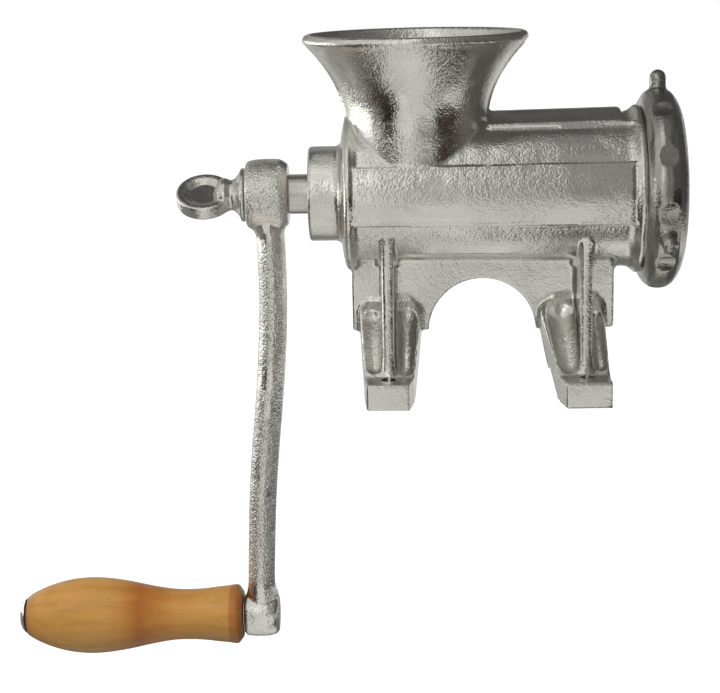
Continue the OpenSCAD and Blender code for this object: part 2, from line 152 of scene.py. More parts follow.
# %% Applying and carving
def baked(obj):
    """Apply the modifiers of an object to its mesh."""
    graph = bpy.context.evaluated_depsgraph_get()
    mesh = bpy.data.meshes.new_from_object(obj.evaluated_get(graph))
    obj.modifiers.clear()
    obj.data = mesh
    return obj


def carved(obj, cutters):
    """Cut other closed shapes out of an object and throw the cutters away."""
    for cutter in cutters:
        cut = obj.modifiers.new("Carve", "BOOLEAN")
        cut.operation = "DIFFERENCE"
        cut.solver = "MANIFOLD"
        cut.object = cutter
    baked(obj)
    for cutter in cutters:
        bpy.data.objects.remove(cutter)
    return obj


# %% [markdown]
# Fusing joins the parts' meshes in one object first. The voxel size sets the finest detail that
# survives, so small castings get smaller voxels.

# %% Fusing
def fused(name, parts, voxel, rounds, keep=1.0):
    """Wrap overlapping parts in one skin of voxel-sized faces, softened by some rounds. Then keep
    only a share of the faces, mostly where the skin curves."""
    bm = bmesh.new()
    for part in parts:
        bm.from_mesh(part.data)
        bpy.data.objects.remove(part)
    mesh = bpy.data.meshes.new(name)
    bm.to_mesh(mesh)
    bm.free()
    obj = placed(name, mesh)
    wrap = obj.modifiers.new("Wrap", "REMESH")
    wrap.mode = "VOXEL"
    wrap.voxel_size = voxel * MM
    soften = obj.modifiers.new("Soften", "SMOOTH")
    soften.factor = 0.5
    soften.iterations = rounds
    if keep < 1:
        thin = obj.modifiers.new("Thin", "DECIMATE")
        thin.ratio = keep
    return baked(obj)


# %% [markdown]
# Each finished piece is hung on the moving body that carries it, hides the solids it stands for and
# takes its finish. Faces shade smoothly except across edges sharper than the given angle.

# %% Handing a piece over
def hand_over(obj, material, body, replaces=(), sharp=40):
    """Finish a piece, hang it on the body it rides on, hide the solids it stands for, and count its
    triangles.
    """
    obj.data.shade_smooth()
    obj.data.set_sharp_from_angle(angle=math.radians(sharp))
    obj.data.materials.clear()
    obj.data.materials.append(material)
    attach(obj, body)
    if replaces:
        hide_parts(*replaces)
    triangles = sum(len(p.vertices) - 2 for p in obj.data.polygons)
    print(f"{obj.name}: {triangles} triangles on {body}")
    return obj


# %% [markdown]
# ## Helpers for materials
# A finish is a small tree of nodes: noise and waves give masks, masks are stretched and mixed into
# a colour, a roughness and a relief, and those go to one shader. An effect that several finishes
# share becomes a node group, which is a tree with sockets of its own.

# %% Nodes in one line each
def add(tree, kind, inputs=(), **settings):
    """Add a node, set its properties, and fill its inputs with values or other nodes' outputs."""
    node = tree.nodes.new(kind)
    for label, value in settings.items():
        setattr(node, label, value)
    for socket, value in dict(inputs).items():
        if isinstance(value, bpy.types.NodeSocket):
            tree.links.new(value, node.inputs[socket])
        else:
            node.inputs[socket].default_value = value
    return node


def own_place(tree, space="Object"):
    """Where a point is in the piece's own space."""
    return add(tree, "ShaderNodeTexCoord").outputs[space]


def noise(tree, place, scale, **more):
    """Soft random values, with spots about 1 / scale wide."""
    return add(tree, "ShaderNodeTexNoise", {"Vector": place, "Scale": scale, **more}).outputs["Fac"]


def calc(tree, operation, *values):
    """The result of a Math node."""
    return add(tree, "ShaderNodeMath", dict(enumerate(values)), operation=operation).outputs[0]


# %% [markdown]
# Noise and waves run from 0 to 1 and mostly stay near the middle. A remap picks the part of that
# range that counts and gives it the values that a socket needs. A ramp does the same with colours.

# %% Ranges, ramps and mixes
def remap(tree, value, low, high, to_low, to_high, ease="LINEAR"):
    """Stretch the range from low to high onto another range."""
    return add(tree, "ShaderNodeMapRange", {
        "Value": value, "From Min": low, "From Max": high, "To Min": to_low, "To Max": to_high},
        interpolation_type=ease).outputs["Result"]


def ramp(tree, factor, stops, ease="LINEAR"):
    """A colour ramp over a factor, with stops of (position, grey or colour)."""
    node = add(tree, "ShaderNodeValToRGB", {"Fac": factor})
    node.color_ramp.interpolation = ease
    while len(node.color_ramp.elements) < len(stops):
        node.color_ramp.elements.new(0.5)
    for element, (position, tone) in zip(node.color_ramp.elements, stops):
        element.position = position
        element.color = (*tone, 1) if isinstance(tone, tuple) else (tone, tone, tone, 1)
    return node.outputs["Color"]


def blended(tree, a, b, share=1.0, way="MULTIPLY"):
    """Two colours mixed by a share. Multiplying lets the second darken or tint the first."""
    return add(tree, "ShaderNodeMix", {"Factor": share, "A": a, "B": b},
               data_type="RGBA", blend_type=way).outputs["Result"]


# %% [markdown]
# A group's sockets are made on its interface, and each material that uses the group fills its
# inputs with values of its own.

# %% Groups
def new_group(name, inputs, outputs):
    """A node group with number sockets: inputs of {name: default} and a list of outputs."""
    group = bpy.data.node_groups.new(name, "ShaderNodeTree")
    for label, default in inputs.items():
        socket = group.interface.new_socket(label, in_out="INPUT", socket_type="NodeSocketFloat")
        socket.default_value = default
    for label in outputs:
        group.interface.new_socket(label, in_out="OUTPUT", socket_type="NodeSocketFloat")
    return group


def use_group(tree, group, **values):
    """Place a group with its own values, and return its outputs."""
    return add(tree, "ShaderNodeGroup", values, node_tree=group).outputs


# %% [markdown]
# A material's own part is then short: it picks the colour, places the group, and links the results
# to its shader. Every bare metal here is made that way.

# %% Materials
def new_material(name):
    """A material with its node tree and its main shader."""
    material = bpy.data.materials.new(name)
    material.use_nodes = True
    tree = material.node_tree
    return material, tree, tree.nodes["Principled BSDF"]


def link_relief(tree, shader, height, depth, strength=1.0):
    """Link a height to the shader's normal as a relief, with its depth in metres."""
    bump = add(tree, "ShaderNodeBump", {"Height": height, "Strength": strength, "Distance": depth})
    tree.links.new(bump.outputs["Normal"], shader.inputs["Normal"])


def metal(name, colour, group, depth, **values):
    """A metal under a group that gives its tone, roughness and height."""
    material, tree, shader = new_material(name)
    parts = use_group(tree, group, **values)
    tree.links.new(blended(tree, (*colour, 1), parts["Tone"]), shader.inputs["Base Color"])
    tree.links.new(parts["Roughness"], shader.inputs["Roughness"])
    link_relief(tree, shader, parts["Height"], depth)
    shader.inputs["Metallic"].default_value = 1.0
    return material


# %% [markdown]
# ## The tinned skin
# The castings were dipped in molten tin. Tin is a warm, bright white metal; over a sand-cast skin
# it settles smooth in some patches and pebbled in others. The body, arm, ring nut and thumb screw
# all have that skin, so it is a node group. Its inputs are how strong the grain is, and a seed that
# shifts the pattern so that no two castings match.

# %% The cast skin group
cast_skin = new_group("cast_skin", {"Grain": 1.0, "Seed": 0.0}, ["Height", "Roughness", "Tone"])
given = add(cast_skin, "NodeGroupInput").outputs
moved = add(cast_skin, "ShaderNodeVectorMath", {0: own_place(cast_skin), 1: given["Seed"]},
            operation="ADD").outputs[0]
pebble = noise(cast_skin, moved, 1050.0)
dimple = noise(cast_skin, moved, 430.0, Distortion=0.5)
swell = noise(cast_skin, moved, 60.0)
patch = noise(cast_skin, moved, 34.0, Roughness=0.6)
rough_patch = ramp(cast_skin, patch, [(0.4, 0.35), (0.6, 1.0)], "EASE")
grain = calc(cast_skin, "MULTIPLY_ADD", dimple, 0.6, calc(cast_skin, "MULTIPLY", pebble, 0.6))
grain = calc(cast_skin, "MULTIPLY", calc(cast_skin, "MULTIPLY", grain, rough_patch), given["Grain"])
add(cast_skin, "NodeGroupOutput", {
    "Height": calc(cast_skin, "MULTIPLY_ADD", swell, 0.5, grain),
    "Roughness": remap(cast_skin, rough_patch, 0.0, 1.0, 0.09, 0.17),
    "Tone": remap(cast_skin, patch, 0.3, 0.7, 1.0, 0.9)})
print("group", cast_skin.name, "with", len(cast_skin.nodes), "nodes")

# %% [markdown]
# On bare metal the base colour is the colour of the reflections. The body and the thumb screw are
# plain tin. The arm is rougher, and its tin is made a little brighter as a painted highlight; the
# ring nut's tin is made much darker as painted shade.

# %% Four castings, one skin
TIN = (0.80, 0.79, 0.755)
body_tin = metal("body_tin", TIN, cast_skin, 0.00045, Grain=1.0, Seed=0.0)
# The arm's tin is a tenth brighter than the body's: a painted highlight.
arm_tin_painted_highlight = metal("arm_tin_painted_highlight", tuple(1.1 * c for c in TIN), cast_skin, 0.0007, Grain=1.5, Seed=3.1)
# The ring nut's tin is much darker than the body's: painted shade.
ring_tin_painted_shade = metal("ring_tin_painted_shade", tuple(0.6 * c for c in TIN), cast_skin, 0.0004, Grain=1.1, Seed=8.2)
small_tin = metal("small_tin", TIN, cast_skin, 0.0004, Grain=0.9, Seed=5.7)
print("made", body_tin.name, arm_tin_painted_highlight.name, ring_tin_painted_shade.name, small_tin.name)

# %% [markdown]
# ## The body casting
# The body is one casting: a barrel that widens towards the outlet, a bearing hub behind it, an oval
# hopper that flares like a trumpet bell, and a thin upright web that carries two pairs of legs. The
# barrel comes first. Raised pads run along both flanks and the top, and shallow panels sink in
# along the bottom between the ribs.

# %% The barrel
REAR_X, FRONT_X = -65.0, 73.0
REAR_R, FRONT_R = 34.6, 36.8


def barrel_r(x):
    """Radius of the barrel's skin at x."""
    return REAR_R + (FRONT_R - REAR_R) * (x - REAR_X) / (FRONT_X - REAR_X)


def on_flank(x, degrees, radius):
    """A point at an angle above the horizontal, on the side where Y is negative."""
    angle = math.radians(degrees)
    return (x, -radius * math.cos(angle), AXIS_Z + radius * math.sin(angle))


def mirrored(point):
    """The same point on the far side."""
    return (point[0], -point[1], point[2])


def both_flanks(points, side):
    """The points as they are on the near side, and mirrored on the far one."""
    return [mirrored(p) for p in points] if side > 0 else points


barrel = turned("barrel", [
    (0, -68), (24.5, -68), (30, -67.2), (34, -66.4), (35.8, -65.8), (36.8, -64.8), (36.9, -63.6),
    (36.4, -62.4), (35.2, -61.4), (34.7, -60), (36.75, 66), (37.4, 68.2), (38.8, 69.9), (39.9, 71),
    (39.9, 72.9), (0, 72.9)])
print("barrel skin radius", REAR_R, "to", FRONT_R, "mm")

# %% [markdown]
# Sand castings keep their walls thin where they can. Shallow panels are sunk into the flanks
# between the ribs, and pads with raised borders run the whole length above them. Both could be
# drawn as a bump, but the light catches their borders, so they are cut and built as real shapes.

# %% Panels and pads
def flank_panel(side, x0, x1):
    """A cutter for the shallow panel between a rib's feet."""
    rows = []
    for x, top in ((x0, -58), (x0 + 1.2, -52.5), (x0 + 4, -48.5),
                   (x1 - 4, -48.5), (x1 - 1.2, -52.5), (x1, -58)):
        for degrees in (top, -70, -94):
            rows += [on_flank(x, degrees, barrel_r(x) - 1.1 + 8 * i) for i in (0, 1)]
    return block("panel", both_flanks(rows, side))


panels = [flank_panel(side, *span) for side in (-1, 1)
          for span in ((-60.6, -51.2), (-41.6, 41.6), (51.2, 61.4))]
carved(barrel, panels)


def pad(x0, x1, low, high, side, rise=1.5):
    """A raised pad along the barrel, with sloping borders."""
    points = []
    for x, inset in ((x0, 0), (x0 + 1, 1), (x1 - 1, 1), (x1, 0)):
        for step in range(17):
            degrees = low + (high - low) * step / 16
            edge = 1.4 if inset else 0
            degrees = min(max(degrees, low + edge), high - edge)
            points.append(on_flank(x, degrees, barrel_r(x) + (rise if inset else -2)))
        points += [on_flank(x, low, barrel_r(x) - 2), on_flank(x, high, barrel_r(x) - 2)]
    return block("pad", both_flanks(points, side))


pads = [pad(-62, 68, -17, 26, side) for side in (-1, 1)] + [pad(0, 65, 61, 119, -1, 2.4)]
for side in (-1, 1):
    for degrees, rise in ((25.5, 1.35), (-16.5, 1.3), (62, 1.5)):
        x0, x1 = (2, 69) if degrees > 60 else (-61, 69)
        ends = [on_flank(x, degrees, barrel_r(x) + rise) for x in (x0, x1)]
        pads.append(capsule("border", *both_flanks(ends, side), 0.75))
hub = turned("hub", [
    (0, -83.4), (21.8, -83.4), (22.6, -82.5), (22.6, -71), (22.9, -69.4), (24.4, -67.8),
    (26.6, -66.8), (26.6, -63), (0, -63)])
print("barrel, hub and", len(pads), "pads")

# %% [markdown]
# The hopper's wall is a flare that opens wider and wider towards the rim and ends in a rounded
# bead. It is round at the neck and oval at the rim. Ovals could be bridged one by one, but a spin
# that is then narrowed across, more and more towards the top, keeps the wall even. A second spin,
# set in by the wall's thickness, cuts its inside.

# %% The hopper's flare
HOPPER_X, NECK_R = -31.8, 33.5
RIM_X, RIM_Y, RIM_H = 52.4, 42.3, 75.62
BEAD_R = 2.7
FLARE_H, FLARE_END = 34.0, RIM_H - 4.2
LEAN = 0.005


def flare(h):
    """Share of the full flare at height h above the barrel's axis."""
    return min(1.0, max(0.0, (h - FLARE_H) / (FLARE_END - FLARE_H))) ** 2


def hopper_spin(name, rows):
    """Spin rows of (height, inset) and narrow them across to the oval."""
    bm = bmesh.new()
    points = []
    for h, inset in rows:
        reach = 0 if inset is None else NECK_R + (RIM_X - NECK_R) * flare(h) - inset
        points.append((HOPPER_X + reach, 0, AXIS_Z + h))
    bmesh.ops.spin(bm, geom=chain(bm, points), cent=(HOPPER_X, 0, 0), axis=(0, 0, 1),
                   angle=math.tau, steps=128, use_merge=True)
    for vert in bm.verts:
        share = flare(vert.co.z - AXIS_Z)
        vert.co.y *= (NECK_R + (RIM_Y - NECK_R) * share) / (NECK_R + (RIM_X - NECK_R) * share)
        vert.co.z += LEAN * share * (vert.co.x - HOPPER_X)
    return to_object(bm, name)


WALL_HEIGHTS = (6, 20, 30, 34, 37, 40, 43, 46, 49, 52, 55, 58, 61, 64, 67, 69.4)
wall_rows = [(float(h), 0.5) for h in WALL_HEIGHTS]
bead_rows = [(RIM_H - BEAD_R + BEAD_R * math.sin(math.radians(a)),
              1.9 - BEAD_R * math.cos(math.radians(a))) for a in range(-45, 91, 15)]
hopper = hopper_spin("hopper", [(6, None)] + wall_rows + bead_rows + [(RIM_H, None)])
print("hopper rim", 2 * RIM_X, "by", 2 * RIM_Y, "mm")

# %% [markdown]
# The hopper's inside runs down into the barrel's bore, so both are cut from both castings. A thin
# fin shows where the two halves of the mould met.

# %% Hollows and fins
def hopper_inside():
    """The hopper's hollow, with a rounded lip."""
    rows = [(h, 4.2) for h, _ in wall_rows] + [
        (71.5, 4.6), (73, 4.5), (74.2, 3.9), (75, 3.1), (75.6, 2.2), (77, 0.5), (77, None)]
    return hopper_spin("hopper_inside", [(6, None)] + rows)


def parting_fin(side):
    """The thin ridge that the two halves of the mould leave down one side of the hopper."""
    fins = []
    for h0, h1 in zip(range(28, 70, 3), range(31, 73, 3)):
        corners = []
        for h in (h0, h1):
            reach = NECK_R + (RIM_X - NECK_R) * flare(h)
            for out, half in ((-2, 1.5), (-0.2, 1.5), (0.75, 0.9)):
                corners += [(HOPPER_X + side * (reach + out), y, AXIS_Z + h) for y in (-half, half)]
        fins.append(block("fin", corners))
    return fins


def feed_bore():
    """The barrel's bore, a little clear of the feed screw."""
    return turned("feed_bore", [(0, -60), (28.1, -60), (31.5, 73.5), (31.5, 74), (0, 74)])


carved(hopper, [hopper_inside(), feed_bore()])
carved(barrel, [hopper_inside(), feed_bore()])
fins = parting_fin(-1) + parting_fin(1)
print("fins in", len(fins), "pieces")

# %% [markdown]
# The web is a thin plate along the middle with a round arch cut through it. A small block in front
# steps it out to the barrel's mouth. Its top stays inside the barrel's wall, clear of the bore.

# %% The web
ARCH_X, ARCH_Z, ARCH_R = -1.2, 27.4, 25.8
WEB_TOP = 62.4
web = block("web", [(x, y, z) for x, z in (
    (-63.8, 29), (-63, 28.2), (61.2, 28.4), (62.1, 29.4), (62.1, WEB_TOP), (-63.8, WEB_TOP))
    for y in (-4, 4)])
web_corner = block("web_corner", [(x, y, z) for x, z in (
    (58, 57), (62.1, 57), (62.8, 59.6), (64.6, 61.2), (67, 62), (67, 62.6), (58, 62.6))
    for y in (-4, 4)])
carved(web, [drill("arch", ARCH_R, 30, Matrix.Translation((ARCH_X, 0, ARCH_Z))
                   @ Matrix.Rotation(math.pi / 2, 4, "X"), 96)])
print("arch", 2 * ARCH_R, "mm across")

# %% [markdown]
# Each leg is a strut from the web out to a foot, scooped out on both sides of an upright rib with a
# rounded front. The four legs differ only by mirroring, apart from which side of the rib is the
# wide one, so they are drawn once. Sizes along the barrel are measured from the foot's bolt hole.

# %% Foot and strut
BOLT_X, BOLT_Y = 46.4, 39.5
BOLT_HOLE_R = 3.5


def corner_place(sx, sy):
    """A function that puts a point of the near leg at one of the four corners."""
    return lambda u, y, z: (sx * BOLT_X + u, sy * y, z)


def foot_and_strut(sx, at):
    """The shoe on the table, the strut with its two scoops, and the fillet above it."""
    inner, outer = -sx, sx
    more, less = (1.0, 0.6) if sx > 0 else (0, 0)
    shoe = block("shoe", [at(u, y, z) for u, y in (
        (outer * (10.3 + 0.7 * less), 49.9), (outer * (11.2 - less / 2), 38),
        (outer * (11.9 - less), 30), (inner * (12.6 + more), 30),
        (inner * (11.7 + more), 38), (inner * (9.6 + more), 49.9))
        for z in (0, 12.4)])
    wide, narrow = (16, 14) if sx < 0 else (20, 10.7)
    strut = block("strut", [at(u, y, z) for u, y in (
        (outer * (11.2 - less), 36), (outer * (11.7 - less), 31),
        (inner * (12.5 + more), 31), (inner * (11.8 + more), 36))
        for z in (0.5, 12.4)]
        + [at(u * w, y, z) for u in (inner * wide, outer * narrow) for y in (0, 6)
           for z, w in ((29.2, 1), (38, 1), (40.4, 0.93), (42, 0.8))])
    fillet = block("fillet", [
        at(u * w, y, z) for u in (inner * wide, outer * narrow)
        for y, z, w in ((0, 38, 0.9), (5.6, 40.6, 0.84), (4.2, 44, 0.7), (3.4, 48, 0.5))])
    scoops = []
    for side, half_top, half_low in ((inner, wide / 2 - 1.9, 4.9), (outer, narrow / 2 - 2, 3.6)):
        ends = []
        for half, deep, y in ((half_low, 2.6, 31.4), (half_top, 2.8, 12 + half_top * 0.06)):
            radius = (half * half + deep * deep) / (2 * deep)
            lift = (radius - deep) / math.sqrt(2)
            ends += [at(side * (3.1 + half), y + lift, 48.2 - y + lift), radius]
        scoops.append(capsule("scoop", ends[0], ends[2], ends[1], ends[3]))
    carved(strut, scoops)
    return [shoe, strut, fillet]


# %% [markdown]
# The rib stands up from the foot to the flank of the barrel. Its front is a line of points, each
# with the depth behind it and how much it widens into the foot. One block can't bend, so a short
# block joins each two points.

# %% Ribs
RIB_FRONT = [(36.8, 11, 28, 1.7), (34.9, 15.5, 22, 0.5), (33.6, 22, 13, 0), (32, 40, 3, 0),
             (31, 58, 3, 0), (31, 70, 26, 0), (31.6, 77.5, 28, 0)]
RIB_SECTION = ((2.9, 2.6), (2.8, 1.4), (2.3, 0.6), (1.3, 0.12), (0, 0))


def rib(at):
    """The upright rib of one leg, as a stack of blocks with rounded fronts."""
    blocks = []
    for pair in zip(RIB_FRONT, RIB_FRONT[1:]):
        corners = []
        for y, z, back, wider in pair:
            for u, in_by in RIB_SECTION:
                half = u + wider * (0.4 + in_by / 3)
                corners += [at(i * half, y - in_by, z) for i in (-1, 1)]
            corners += [at(i * (3.1 + 1.6 * wider), back, z) for i in (-1, 1)]
        blocks.append(block("rib", corners))
    return blocks


legs = []
for sx in (-1, 1):
    for sy in (-1, 1):
        at = corner_place(sx, sy)
        legs += foot_and_strut(sx, at) + rib(at)
print("four legs of", len(legs), "blocks")

# %% [markdown]
# Now everything is wrapped in one skin, and what a drill or a lathe cuts on the real casting is cut
# afterwards, so that those edges stay crisp: the four bolt holes and the hub's bearing bore. The
# voxels are small enough to keep the borders, and thinning then drops faces where the skin is flat.

# %% One body casting
body = fused("cast_body", [barrel, hub, hopper, web, web_corner] + pads + fins + legs,
             0.75, 4, 0.36)
holes = [drill("bolt_hole", BOLT_HOLE_R, 30, Matrix.Translation((sx * BOLT_X, sy * BOLT_Y, 0)), 48)
         for sx in (-1, 1) for sy in (-1, 1)]
carved(body, holes + [rod("hub_bore", 12.5, -90, -59)])
hand_over(body, body_tin, "housing", ["body_casting"])

# %% [markdown]
# ## Screw threads
# A Screw modifier could wind a thread, but spinning an outline of teeth while it moves along the
# axis does it in one operator. One turn moves it by exactly one tooth, so its end meets its start
# and merging the doubles closes the skin. `dvec` is the movement per step. Two flat cuts trim it to
# length and a filled face closes each end. The first thread is the barrel's mouth, bored out for
# the cutting plate.

# %% A helical thread
def threaded_rod(name, root, crest, pitch, x0, x1, steps=72):
    """A solid rod along the main axis from x0 to x1 with a right-hand thread."""
    bm = bmesh.new()
    teeth = [(x0 + (tooth + share) * pitch, 0, AXIS_Z + radius)
             for tooth in range(-2, math.ceil((x1 - x0) / pitch) + 3)
             for share, radius in ((0.0, root), (0.14, root), (0.48, crest), (0.66, crest))]
    bmesh.ops.spin(bm, geom=chain(bm, teeth), cent=(0, 0, AXIS_Z), axis=(1, 0, 0),
                   dvec=(pitch / steps, 0, 0), angle=math.tau, steps=steps, use_merge=False)
    bmesh.ops.remove_doubles(bm, verts=bm.verts, dist=0.002)
    for x, normal in ((x0, (-1, 0, 0)), (x1, (1, 0, 0))):
        bmesh.ops.bisect_plane(bm, geom=bm.verts[:] + bm.edges[:] + bm.faces[:], dist=0.0001,
                               plane_co=(x, 0, 0), plane_no=normal, clear_outer=True)
        rim = [e for e in bm.edges
               if e.is_boundary and all(abs(v.co.x - x) < 0.01 for v in e.verts)]
        bmesh.ops.edgeloop_fill(bm, edges=rim)
    return to_object(bm, name)


NUT_PITCH = 3.0
mouth = threaded_rod("barrel_mouth", 37.5, 38.85, NUT_PITCH, 72.0, 88.0)
carved(mouth, [rod("mouth_bore", 31.5, 70, 90), rod("plate_pocket", 35.12, 81.5, 90)])
hand_over(mouth, body_tin, "housing", ["body_casting"], sharp=30)

# %% [markdown]
# ## The ring nut
# The ring nut is a fat turned ring that screws onto that mouth and holds the cutting plate. Ten
# thumb-sized dimples go round it, and three lugs between them give a grip. Its inner thread is cut
# with a slightly larger copy of the mouth's thread, so the two mesh as they turn.

# %% Ring nut
PLACES, DIMPLE_START, LUG_START = 11, -1.5, -3.5


def around_axis(point, degrees):
    """Turn a point of the plane through the axis, given as (x, radius), round the barrel's axis."""
    angle = math.radians(degrees)
    return Vector((point[0], -point[1] * math.sin(angle), AXIS_Z + point[1] * math.cos(angle)))


ring = turned("ring", [
    (0, 73.5), (41, 73.5), (42.7, 74.1), (45.2, 75.9), (46.9, 78.2), (47.55, 80.8), (47.55, 83.4),
    (47.1, 85.4), (46, 87.6), (43.5, 89.8), (40.2, 91.5), (36.6, 92.5), (33, 92.95), (0, 92.95)])
dimples = [capsule("dimple", around_axis((79.6, 59.1), turn), around_axis((84.6, 59.1), turn), 13)
           for turn in (360 * k / PLACES + DIMPLE_START for k in range(1, PLACES))]
carved(ring, dimples)
lugs = [capsule("lug", around_axis((82.3, 43), turn), around_axis((82.3, 52.1), turn), 3.9)
        for turn in (LUG_START + k * 360 / PLACES for k in (0, 3.5, 7.5))]
ring = fused("ring", [ring] + lugs, 0.65, 3)
ring.name = "ring_nut_casting"
carved(ring, [
    threaded_rod("ring_thread", 38.0, 39.3, NUT_PITCH, 72.0, 89.6), rod("outlet", 30.5, 88, 96)])
hand_over(ring, ring_tin_painted_shade, "ring", ["ring_nut"])

# %% [markdown]
# ## The crank arm
# The arm starts straight down and then bows outwards, and its section is a flattened oval. Only
# thirteen stations are given. A Catmull-Rom curve, which passes through every station, gives the
# stations between them, and short hulls join them up.

# %% A smooth curve through stations
def smooth_rows(rows, between):
    """Rows of numbers with extra rows between them on a Catmull-Rom curve."""
    result = []
    for i in range(len(rows) - 1):
        nearby = (max(0, min(len(rows) - 1, k)) for k in range(i - 1, i + 3))
        before, start, end, after = (rows[k] for k in nearby)
        for step in range(between):
            t = step / between
            result.append([0.5 * (2 * b + (c - a) * t + (2 * a - 5 * b + 4 * c - d) * t * t
                                  + (3 * b - a - 3 * c + d) * t ** 3)
                           for a, b, c, d in zip(before, start, end, after)])
    return result + [list(rows[-1])]


print("half way in a row of 0, 1, 4, 9:", smooth_rows([(0,), (1,), (4,), (9,)], 2)[3])

# %% [markdown]
# A station is its depth below the barrel's axis, its place along the barrel, and the section's
# width and thickness. The boss and the eye are turned, and all are fused. The square hole that fits
# the shaft's tail is broached afterwards, so it stays sharp.

# %% Crank arm
SECTION = [(-0.5, -0.1), (-0.46, -0.25), (-0.33, -0.4), (-0.14, -0.49), (0.06, -0.5),
           (0.24, -0.43), (0.38, -0.34), (0.47, -0.2), (0.5, -0.08)]
SECTION += [(x, -y) for x, y in reversed(SECTION)]
STATIONS = [
    (8, -103.4, 25, 19.4), (13, -103.4, 24, 19), (15.8, -103.3, 22, 16.6), (18.6, -102.9, 20, 14),
    (24, -102.5, 19, 13.6), (54, -102.4, 18, 13.6), (88, -104.4, 17, 13.6),
    (126, -108.3, 16.2, 13.6), (153, -110.6, 15.6, 13.4), (180, -112, 15.2, 13.3),
    (196, -112.6, 15.4, 13.4), (201, -112.4, 16, 15.4), (206, -112.4, 17, 16.8)]
slices = [[(x + u * thick, v * wide, AXIS_Z - depth) for u, v in SECTION]
          for depth, x, wide, thick in smooth_rows(STATIONS, 5)]
arm_parts = [block("slice", a + b) for a, b in zip(slices, slices[1:])]
arm_parts.append(turned("boss", [
    (0, -113.75), (14, -113.75), (15.5, -113.2), (16.3, -111.8), (16.85, -109), (17.1, -105),
    (17.1, -100.5), (16.9, -97.4), (16.4, -96.2), (14.4, -93.3), (0, -93.3)]))
arm_parts.append(turned("eye", [
    (0, -121.2), (9.8, -121.2), (10.9, -120.2), (11.3, -116), (11.3, -110), (10.4, -105.8),
    (8.8, -104.1), (0, -104.1)], GRIP_Z))
arm = fused("arm", arm_parts, 0.65, 4)
arm.name = "crank_arm_casting"
square = block("square", [(x, 6.55 * i, AXIS_Z + 6.55 * j)
                          for x in (-116, -90) for i in (-1, 1) for j in (-1, 1)])
carved(arm, [square])
hand_over(arm, arm_tin_painted_highlight, "crank", ["crank_arm"])

# %% [markdown]
# ## The thumb screw
# A round dished tab, a waisted neck and a flange are one small casting, with a thread cut on the
# shank that goes into the shaft's end. The tab is spun on the main axis first and then swung into
# place with one matrix.

# %% Thumb screw
knob = turned("knob", [
    (0, -114.1), (12.5, -114.1), (12.85, -114.5), (12.85, -115.6), (12.4, -116.2), (11, -116.7),
    (9.2, -117.9), (8.2, -118.8), (7.5, -119.8), (7.3, -121), (7.7, -122.2), (8.3, -123.6),
    (8.3, -125), (7.4, -126.8), (5, -128.2), (0, -129)])
TAB_TURN, TAB_X, TAB_DROP = math.radians(59), -133.7, 0.6
half = [(0, 1.7), (6.9, 1.7), (7.7, 2), (9, 2.8), (10.2, 3.4), (11.4, 3.55), (12.8, 3.5),
        (13.5, 3.1), (13.6, 2.4)]
tab = turned("tab", half + [(r, -x) for r, x in reversed(half)], z=0)
tab.data.transform(Matrix.Translation((TAB_X * MM, 0, (AXIS_Z - TAB_DROP) * MM))
                   @ Matrix.Rotation(-TAB_TURN, 4, "X") @ Matrix.Rotation(-math.pi / 2, 4, "Z"))
knob = fused("knob", [knob, tab], 0.4, 3)
knob.name = "thumb_screw_casting"
shank = threaded_rod("thumb_thread", 4.25, 4.95, 1.5, -114.2, -89.8, 48)
hand_over(knob, small_tin, "thumb", ["thumb_screw"])

# %% [markdown]
# ## The feed screw
# The flight is a blade spun round the shaft while it advances. It is then stretched: wider gaps at
# the rear, where the meat falls in, and a radius that follows the taper of the bore, with a gap so
# that it turns freely. The screw is left-handed, so that turning the crank clockwise pushes the
# meat forwards.

# %% Feed screw
SCREW_X0, SCREW_X1, TURNS = -58.2, 72.6, 3.2
TIP_GAP, ROOT_DEPTH = 1.2, 3
DRAWN_LENGTH, DRAWN_ROOT, DRAWN_RISE = 100, 10, 10


def core_r(x):
    """Radius of the tapered core at x."""
    return 11.5 + 4 * (x - SCREW_X0) / (SCREW_X1 - SCREW_X0)


def flight():
    """The helical blade, first drawn evenly and then stretched onto the core and into the bore."""
    bm = bmesh.new()
    blade = [(-2, 0), (-1.2, 1), (1.2, 1), (2, 0)]
    points = [bm.verts.new((x, 0, DRAWN_ROOT + DRAWN_RISE * r)) for x, r in blade]
    edges = [bm.edges.new((points[i], points[i - 1])) for i in range(4)]
    faces = [bm.faces.new(points)]
    steps = round(TURNS * 60)
    bmesh.ops.spin(bm, geom=points + edges + faces, cent=(0, 0, 0), axis=(1, 0, 0),
                   dvec=(DRAWN_LENGTH / steps, 0, 0), angle=-math.tau * TURNS, steps=steps)
    bmesh.ops.remove_doubles(bm, verts=bm.verts, dist=0.001)
    start, end = SCREW_X0 + 7, SCREW_X1 - 4.2
    for vert in bm.verts:
        t = vert.co.x / DRAWN_LENGTH
        reach = math.hypot(vert.co.y, vert.co.z)
        x = start + (end - start) * (1.28 * t - 0.28 * t * t)
        bore = 28 + 3.5 * (x + 60) / 141.5
        fade = max(0.3, min(1, 0.35 + 6 * t, 0.35 + 9 * (1 - t)))
        root = core_r(x) - ROOT_DEPTH
        tip = core_r(x) + (bore - TIP_GAP - core_r(x)) * fade
        radius = root + (tip - root) * (reach - DRAWN_ROOT) / DRAWN_RISE
        vert.co = Vector((x, vert.co.y / reach * radius, AXIS_Z + vert.co.z / reach * radius))
    return to_object(bm, "flight")


core = turned("core", [
    (0, -60), (11, -58.4), (15.5, -58.1), (15.5, -55.2), (12.2, -50.2), (14.9, 71), (13.9, 72.5),
    (0, 72.5)])
screw = fused("screw", [core, flight()], 0.9, 3)
screw.name = "feed_screw_casting"
carved(screw, [rod("stud_bore", 5, 57.6, 74)])
hand_over(screw, small_tin, "screw", ["feed_screw"])

# %% [markdown]
# Behind the flight the shaft runs out through the hub. It is turned, and its end is milled square
# for the arm. Both wait here for their finish.

